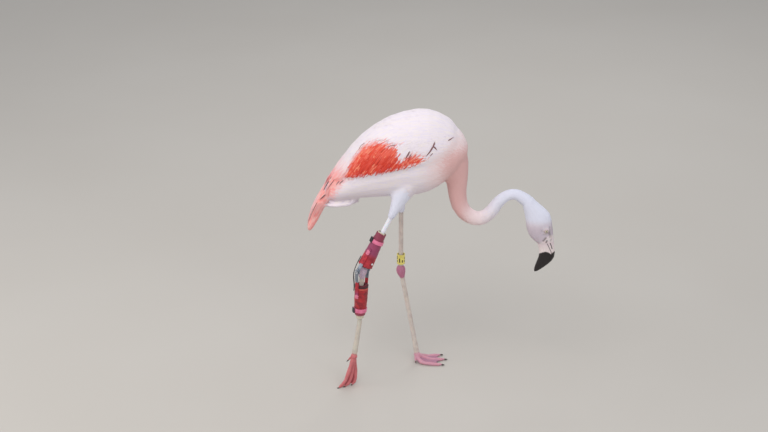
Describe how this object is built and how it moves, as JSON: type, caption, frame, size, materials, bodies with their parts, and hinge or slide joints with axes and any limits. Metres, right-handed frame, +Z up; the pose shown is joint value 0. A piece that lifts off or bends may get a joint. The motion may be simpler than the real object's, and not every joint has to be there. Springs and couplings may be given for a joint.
{
  "type": "flamingo model",
  "caption": "Life-size still model of a walking flamingo, neck in a low S, with a hinged brace round one ankle joint and a leg ring.",
  "frame": {"origin": "on the floor under the middle of the bounding box", "axes": "+X forward, the way the bird walks; +Y to the bird's left; +Z up"},
  "size_m": [0.6638, 0.2074, 0.7585],
  "materials": {
    "plumage": "soft white to pale pink feathers",
    "neck_plumage": "short pale pink feathers",
    "wing_plumage": "pale pink feathers with a red patch",
    "coral_plumage": "long loose coral feathers",
    "leg_skin": "scaled grey-cream skin",
    "joint_skin": "wrinkled pink skin",
    "foot_skin": "scaled pink skin and webs",
    "bill": "horn, pale at the base and black from the bend on",
    "claw": "dark horn",
    "eye": "wet gloss, pale yellow iris",
    "ring": "yellow with plain dark marks",
    "cuff": "moulded shell with a red, maroon and purple print",
    "lining": "cream foam",
    "strap": "pink webbing",
    "dark_strap": "dark elastic webbing and catches",
    "hinge": "satin metal"
  },
  "bodies": {
    "root": {"ankle_left": "joint_skin", "ankle_right": "joint_skin", "bill_lower": "bill", "bill_upper": "bill", "brace_bar_inner_lower": "hinge", "brace_bar_inner_upper": "hinge", "brace_bar_outer_lower": "hinge", "brace_bar_outer_upper": "hinge", "brace_buckle_lower": "dark_strap", "brace_buckle_upper": "dark_strap", "brace_cuff_lower": "cuff", "brace_cuff_upper": "cuff", "brace_lining_lower": "lining", "brace_lining_upper": "lining", "brace_pivot_inner": "hinge", "brace_pivot_outer": "hinge", "brace_rear_strap": "dark_strap", "brace_strap_lower": "strap", "brace_strap_upper": "strap", "brace_stud": "hinge", "claw_left_hind": "claw", "claw_left_inner": "claw", "claw_left_middle": "claw", "claw_left_outer": "claw", "claw_right_hind": "claw", "claw_right_inner": "claw", "claw_right_middle": "claw", "claw_right_outer": "claw", "eye_left": "eye", "eye_right": "eye", "foot_left": "foot_skin", "foot_right": "foot_skin", "head": "plumage", "hind_toe_left": "foot_skin", "hind_toe_right": "foot_skin", "neck_base": "neck_plumage", "neck_lower": "neck_plumage", "neck_middle": "plumage", "neck_upper": "plumage", "ring_left": "ring", "shank_left": "leg_skin", "shank_right": "leg_skin", "tail": "plumage", "tarsus_left": "leg_skin", "tarsus_right": "leg_skin", "tertials_left": "coral_plumage", "tertials_right": "coral_plumage", "thigh_left": "plumage", "thigh_right": "plumage", "trunk": "plumage", "wing_left": "wing_plumage", "wing_right": "wing_plumage"}
  },
  "joints": []
}
